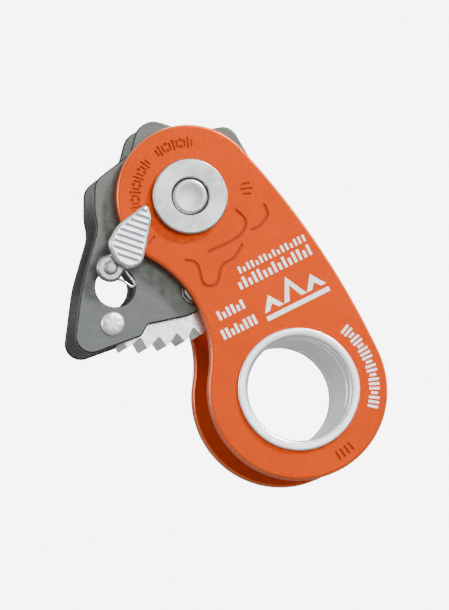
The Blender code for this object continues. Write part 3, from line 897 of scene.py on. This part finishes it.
# ---------------------------------------------------------------- axle, washers, sheave
def axle_pieces():
    """The two washers, and the axle with its dished ends swelled a little over their bores."""
    bore = AXLE_RADIUS + GAP
    for name in ("front", "rear"):
        profile = rim(WASHER_RADIUS - WASHER_FILLET, HEAD_OUTER - WASHER_FILLET, WASHER_FILLET, 90, 0)
        profile += [(WASHER_RADIUS, HEAD_INNER + 0.1), (WASHER_RADIUS - 0.1, HEAD_INNER)]
        profile += [(bore, HEAD_INNER), (bore, HEAD_OUTER - 0.25), (bore + 0.12, HEAD_OUTER - 0.05)]
        profile += [(bore + 0.3, HEAD_OUTER)]
        washer = turned(profile, True, 96)
        if name == "rear":
            to_the_back(washer)
        node = name + "_axle_washer"
        put(washer, name + "_washer_turned", WASHER_METAL, AXLE, "rear_frame", [node])
    dish = ((0, 0.24), (0.9, 0.21), (1.7, 0.12), (2.3, 0.03), (2.6, 0))
    swell = ((2.88, 0.04), (3.06, 0.16), (3.14, 0.36), (3.14, 0.9), (AXLE_RADIUS, 1.0))
    profile = with_mirror([(radius, AXLE_END - down) for radius, down in dish + swell])
    put(turned(profile, False, 72), "axle_turned", AXLE_STEEL, AXLE, "rear_frame", ["axle"])


def sheave_piece():
    """Flanges that curve into a deep round groove, and a shallow recess in each face."""
    groove_top = SHEAVE_HALF - 1.0
    edge = SHEAVE_RADIUS - FLANGE_FILLET
    profile = rim(edge, SHEAVE_HALF - FLANGE_FILLET, FLANGE_FILLET, 90, 0, 4)
    depth = SHEAVE_RADIUS - GROOVE_RADIUS
    spans = 24
    for i in range(spans + 1):
        t = -1 + 2 * i / spans
        profile.append((SHEAVE_RADIUS - depth * math.cos(t * math.pi / 2) ** 0.8, -t * groove_top))
    profile += rim(edge, FLANGE_FILLET - SHEAVE_HALF, FLANGE_FILLET, 0, -90, 4)
    recess = [(10.4, 0), (9.9, 0.35), (6.4, 0.35), (6.0, 0), (BUSH_RADIUS + GAP, 0)]
    profile += [(radius, down - SHEAVE_HALF) for radius, down in recess]
    profile += [(radius, SHEAVE_HALF - down) for radius, down in reversed(recess)]
    put(turned(profile, True, 96), "sheave_turned", SHEAVE_METAL, AXLE, "sheave_wheel", ["sheave"])


# ---------------------------------------------------------------- cam
def cam_plate(name, node, front):
    """A plated steel plate whose round edges are painted dark, as painted shade; the front one also holds the
    catch's pin.
    """
    holes = [circle((0, 0), BUSH_RADIUS + GAP)]
    holes.append(circle(LOWER_RIVET - AXLE, RIVET_RADIUS + GAP, 10))
    holes.append(circle(UPPER_RIVET - AXLE, RIVET_WELL, 8))
    if front:
        holes += [front_window(), circle(CATCH - AXLE, PIN_RADIUS + GAP, 12)]
        near, far = CAM_OUTER, CAM_INNER
    else:
        holes.append(rear_window())
        near, far = -CAM_INNER, -CAM_OUTER
    plate = slab([cam_outline()] + holes, near, far, CAM_FILLET, (PLATED, PLATED_EDGE_SHADE))
    put(plate, name, None, AXLE, "cam", [node])


def tooth_tip(k):
    """Radius and bearing of tooth k about the axle; teeth lie on a spiral."""
    return TOOTH_RADIUS + TOOTH_GROWTH * k, TOOTH_FIRST - TOOTH_PITCH * k


def block_outline():
    """The toothed block: flat-topped teeth with round roots, and bosses round the two rivets."""
    points = []
    tip = ((0.12, 0.55), (0, 0.2), (0, -0.2), (0.12, -0.55))
    root = ((1.25, -3.1), (1.35, -3.6), (1.1, -4.15))
    for k in range(TEETH):
        radius, angle = tooth_tip(k)
        points += [polar(radius - down, angle + turn) for down, turn in tip + root]
    points += arc(LOWER_RIVET - AXLE, LOWER_BOSS, 290, 80, 12)
    points += [Vector((-7.0, -19.2)), Vector((-2.2, -15.6))]
    points += arc(UPPER_RIVET - AXLE, UPPER_BOSS, 130, -20, 12)
    return points


def tooth_groove(height):
    """A V-shaped cutter along the spiral of the teeth, at a height of the drawing."""
    work = bmesh.new()
    sections = []
    spans = 24
    for i in range(spans + 1):
        radius, angle = tooth_tip(CUT_FROM + (CUT_TO - CUT_FROM) * i / spans)
        section = []
        for out, side in ((CUT_CLEAR, -CUT_HALF_WIDTH), (-CUT_DEPTH, 0.0), (CUT_CLEAR, CUT_HALF_WIDTH)):
            place = polar(radius + out, angle)
            section.append(work.verts.new((place.x * MM, place.y * MM, (height + side) * MM)))
        sections.append(section)
    for one, two in zip(sections, sections[1:]):
        for i in range(3):
            work.faces.new((one[i], one[(i + 1) % 3], two[(i + 1) % 3], two[i]))
    work.faces.new(sections[0][::-1])
    work.faces.new(sections[-1])
    bmesh.ops.recalc_face_normals(work, faces=work.faces)
    mesh = bpy.data.meshes.new("groove")
    work.to_mesh(mesh)
    work.free()
    return link(bpy.data.objects.new("groove", mesh))


def toothed_block():
    """The block between the cam plates, its teeth parted lengthwise into points."""
    holes = [circle(place - AXLE, RIVET_RADIUS + GAP, 12) for place in (LOWER_RIVET, UPPER_RIVET)]
    block = slab([block_outline()] + holes, BLOCK_HALF, -BLOCK_HALF)
    for height in TOOTH_CUTS:
        block = boolean(block, tooth_groove(height), "DIFFERENCE")
    block = soften(block, TOOTH_ROUND, 2, 30)
    put(block, "toothed_cam_block", CAST, AXLE, "cam", ["toothed_cam"])


def staked_rivet():
    """A rivet with two low domed heads, each pressed into three soft lobes."""
    top = depths_of("lower_cam_rivet")[0] - 0.1
    seat = CAM_OUTER + 0.02
    rise = top - seat - STAKE_WALL
    shares = [i / 10 for i in range(11)]
    half = [(RIVET_HEAD * t, seat + STAKE_WALL + rise * math.sqrt(1 - t ** 2)) for t in shares]
    half += [(RIVET_HEAD - 0.08, seat), (RIVET_RADIUS, seat)]
    rivet = turned(with_mirror(half), False, 48)
    for vertex in rivet.data.vertices:
        x, y, z = vertex.co / MM
        share = min(math.hypot(x, y) / RIVET_HEAD, 1.0)
        swell = STAKE_SWELL * share ** 2 * (1 - share)
        lobe = swell * math.cos(STAKE_LOBES * math.atan2(y, x) + 0.5)
        if abs(z) > seat + 0.1:
            vertex.co.z += math.copysign(lobe * MM, z)
    return rivet


def rivets():
    """The lower rivet stands proud; the upper one is flush, since it runs under the side plates."""
    lower = staked_rivet()
    put(lower, "lower_rivet_staked", STAKED, LOWER_RIVET, "cam", ["lower_cam_rivet"])
    top = CAM_OUTER
    half = [(0, top - 0.02), (1.2, top), (RIVET_HEAD - 0.35, top - 0.02), (RIVET_HEAD - 0.1, top - 0.14)]
    half += [(RIVET_HEAD, top - 0.4), (RIVET_HEAD, CAM_INNER), (RIVET_RADIUS, CAM_INNER - 0.15)]
    upper = turned(with_mirror(half), False, 48)
    put(upper, "upper_rivet_turned", BRIGHT, UPPER_RIVET, "cam", ["upper_cam_rivet"])


# ---------------------------------------------------------------- catch
def inner_tab(inset):
    """The thumb tab's outline, drawn in by an inset on every side."""
    shrunk = []
    for x, y, radius in TAB_CORNERS:
        out = Vector((x, y)) - TAB_MIDDLE
        place = TAB_MIDDLE + out * (1 - inset / out.length)
        shrunk.append((place.x, place.y, max(radius - inset, 0.3)))
    return rounded(shrunk)


def catch_lever():
    """A hub with its stem beside the side plate, and in front of it a rounded tab grooved into ribs, with
    painted shade in the grooves.
    """
    tab_back = HEAD_INNER
    hub_front = SIDE_OUTER
    hub_outline = arc((0, 0), HUB_RADIUS, 128, 308, 8) + arc(STEM_AT, STEM_RADIUS, -52, 128, 8)
    hub = slab([hub_outline], hub_front, HUB_BACK, HUB_FILLET)
    tab = slab([rounded(TAB_CORNERS)], TAB_FRONT, tab_back, TAB_FILLET)
    along = polar(RIB_PITCH, 90 - RIB_TILT)
    bars = [bar(RIB_FIRST + along * i, -RIB_TILT, RIB_LENGTH, RIB_WIDTH) for i in range(RIBS)]
    ribs = slab(bars, TAB_FRONT + 0.5, TAB_FRONT - RIB_DEPTH)
    inside = slab([inner_tab(RIB_INSET)], TAB_FRONT + 1, TAB_FRONT - 1)
    ribs = boolean(ribs, inside, "INTERSECT")
    tab.data.materials.append(CATCH_METAL)
    # The grooves take the darker plating: painted shade.
    ribs.data.materials.append(CATCH_GROOVE_SHADE)
    tab = boolean(tab, ribs, "DIFFERENCE", "TRANSFER")
    hub.data.materials.append(CATCH_HUB)
    lever = boolean(hub, tab, "UNION", "TRANSFER")
    bridge = slab([circle(BRIDGE_AT, BRIDGE_RADIUS, 15)], tab_back + 0.5, hub_front - 0.5)
    lever = boolean(lever, bridge, "UNION")
    bore = slab([circle((0, 0), PIN_BORE, 10)], hub_front + 1, HUB_BACK - 1)
    lever = boolean(lever, bore, "DIFFERENCE")
    put(lever, "catch_lever_ribbed", None, CATCH, "catch", ["catch_lever"], angle=30)


def catch_pin():
    """A shouldered pin whose low domed head fills the hub's recess."""
    top = depths_of("catch_pin")[0]
    profile = [(0, top), (0.7, top - 0.02), (1.0, top - 0.06), (1.18, top - 0.16), (PIN_HEAD, top - 0.34)]
    profile += [(PIN_HEAD - 0.05, SIDE_OUTER + 0.12), (PIN_RADIUS, SIDE_OUTER)]
    profile += [(PIN_RADIUS, CAM_INNER), (0, CAM_INNER)]
    pin = turned(profile, False, 48)
    put(pin, "catch_pin_turned", PIN_STEEL, CATCH, "cam", ["catch_pin"])


def catch_spring():
    """A torsion spring round the pin: a close coil, and a leg that runs down the plate and hooks back."""
    low = CAM_OUTER + COIL_WIRE + COIL_CLEAR
    steps = 72
    coil = []
    for i in range(steps + 1):
        at = polar(COIL_RADIUS, 300 + 360 * COIL_TURNS * i / steps)
        coil.append((at.x, at.y, low + COIL_RISE * i / steps))
    leg = [(2.6, 0.5), (3.4, -0.8), (4.4, -2.1), (4.62, -2.65), (4.25, -3.0), (3.7, -2.75), (2.4, -1.95)]
    path = smooth_path([(x, y, low) for x, y in leg] + coil[:1])[:-1] + [Vector(place) for place in coil]
    spring = wire(path, COIL_WIRE)
    put(spring, "catch_spring_wire", BRIGHT, CATCH, "cam", ["catch_spring"], angle=60)


def cam_spring():
    """The flat torsion spring in the rear plate's pocket."""
    top, bottom = depths_of("cam_spring")
    fall = top - bottom - 2 * SPRING_WIRE
    spans = 119
    path = []
    for i in range(spans + 1):
        share = i / spans
        angle = math.tau * SPRING_TURNS * share
        height = top - SPRING_WIRE - fall * share
        path.append(Vector((SPRING_RADIUS * math.cos(angle), SPRING_RADIUS * math.sin(angle), height)))
    spring = wire(path, SPRING_WIRE)
    put(spring, "cam_spring_wire", BRIGHT, AXLE, "rear_frame", ["cam_spring"], angle=60)


def hidden_pieces():
    """Collars, bushing and friction washers, redrawn fine: they show at the edges and from inside."""
    bore = AXLE_RADIUS + GAP
    for name, sign in (("front", 1), ("rear", -1)):
        near, far = sorted((sign * CAM_OUTER, sign * CAM_INNER), reverse=True)
        collar = ring(BUSH_RADIUS, bore, near, far, 0.12, 48)
        put(collar, name + "_collar_turned", BRONZE, AXLE, "cam", [name + "_cam_collar"])
        near, far = sorted((sign * SIDE_INNER, sign * (SIDE_INNER + FRICTION_THICK)), reverse=True)
        washer = ring(FRICTION_RADIUS, bore, near, far, 0.1, 64)
        body = "front_plate" if sign > 0 else "rear_frame"
        put(washer, name + "_slip_washer", NYLON, AXLE, body, [name + "_friction_washer"])
    bush = ring(BUSH_RADIUS, bore, SHEAVE_HALF, -SHEAVE_HALF, 0.2, 48)
    put(bush, "sheave_bush_turned", BRONZE, AXLE, "sheave_wheel", ["sheave_bushing"])


# ---------------------------------------------------------------- studio
def lamp(name, place, aim, size, power):
    """A round soft light at a place in metres, turned towards an aim."""
    light = bpy.data.lights.new(name, "AREA")
    light.shape = "DISK"
    light.size = size
    light.energy = power
    obj = link(bpy.data.objects.new(name, light))
    obj.location = place
    obj.rotation_euler = (Vector(aim) - Vector(place)).to_track_quat("-Z", "Y").to_euler()


def world():
    """Soft studio surroundings: bright above, dimmer below, and near white where the camera looks."""
    surroundings = bpy.data.worlds.new("studio")
    bpy.context.scene.world = surroundings
    surroundings.use_nodes = True
    nodes = surroundings.node_tree.nodes
    links = surroundings.node_tree.links
    place = nodes.new("ShaderNodeTexCoord")
    split = nodes.new("ShaderNodeSeparateXYZ")
    height = nodes.new("ShaderNodeMapRange")
    height.inputs["From Min"].default_value = -1
    height.inputs["From Max"].default_value = 1
    ramp = nodes.new("ShaderNodeValToRGB")
    links.new(place.outputs["Generated"], split.inputs["Vector"])
    links.new(split.outputs["Z"], height.inputs["Value"])
    links.new(height.outputs["Result"], ramp.inputs["Fac"])
    low, high = ramp.color_ramp.elements
    low.position = 0.36
    low.color = WORLD_LOW
    high.position = 0.62
    high.color = WORLD_HIGH
    soft = nodes["Background"]
    soft.inputs["Strength"].default_value = WORLD_STRENGTH
    links.new(ramp.outputs["Color"], soft.inputs["Color"])
    seen = nodes.new("ShaderNodeBackground")
    seen.inputs["Color"].default_value = (1, 1, 1, 1)
    seen.inputs["Strength"].default_value = BACKDROP_STRENGTH
    path = nodes.new("ShaderNodeLightPath")
    mix = nodes.new("ShaderNodeMixShader")
    links.new(path.outputs["Is Camera Ray"], mix.inputs["Fac"])
    links.new(soft.outputs["Background"], mix.inputs[1])
    links.new(seen.outputs["Background"], mix.inputs[2])
    links.new(mix.outputs["Shader"], nodes["World Output"].inputs["Surface"])


def studio():
    """A pale floor well below the hanging object, that throws no light on it, and five soft lamps."""
    middle = (CAD_BOX[0] + CAD_BOX[1]) / 2
    mesh = bpy.data.meshes.new("floor")
    signs = ((-1, -1), (1, -1), (1, 1), (-1, 1))
    corners = [(x * FLOOR_HALF, y * FLOOR_HALF, FLOOR_HEIGHT) for x, y in signs]
    mesh.from_pydata(corners, [], [(0, 1, 2, 3)])
    floor = link(bpy.data.objects.new("floor", mesh))
    paint = Shader("floor_pale", roughness=0.9, Emission_Strength=FLOOR_GLOW)
    paint.set("Base Color", paint.ramp(paint.noise(3, 3), (0.80, 0.80, 0.80), (0.83, 0.83, 0.83)))
    floor.data.materials.append(paint.material)
    floor.visible_glossy = False
    floor.visible_diffuse = False
    world()
    for name, offset, size, power in LAMPS:
        lamp(name, middle + Vector(offset), middle, size, power)


def camera():
    """A long lens that looks at the object's front, a little from the left and from below."""
    azimuth = math.radians(CAMERA_AZIMUTH)
    elevation = math.radians(CAMERA_ELEVATION)
    level = math.cos(elevation)
    back = Vector((math.sin(azimuth) * level, -math.cos(azimuth) * level, math.sin(elevation)))
    data = bpy.data.cameras.new("camera")
    data.lens = CAMERA_LENS
    data.clip_start = 0.05
    data.clip_end = 50
    obj = link(bpy.data.objects.new("camera", data))
    middle = (CAD_BOX[0] + CAD_BOX[1]) / 2
    obj.location = middle + back * CAMERA_DISTANCE
    obj.rotation_euler = (-back).to_track_quat("-Z", "Y").to_euler()
    bpy.context.scene.camera = obj


camera()
side_plates()
eye_pieces()
axle_pieces()
sheave_piece()
cam_plate("cam_plate_front", "front_cam_plate", True)
cam_plate("cam_plate_rear", "rear_cam_plate", False)
toothed_block()
rivets()
catch_lever()
catch_pin()
catch_spring()
cam_spring()
hidden_pieces()
studio()
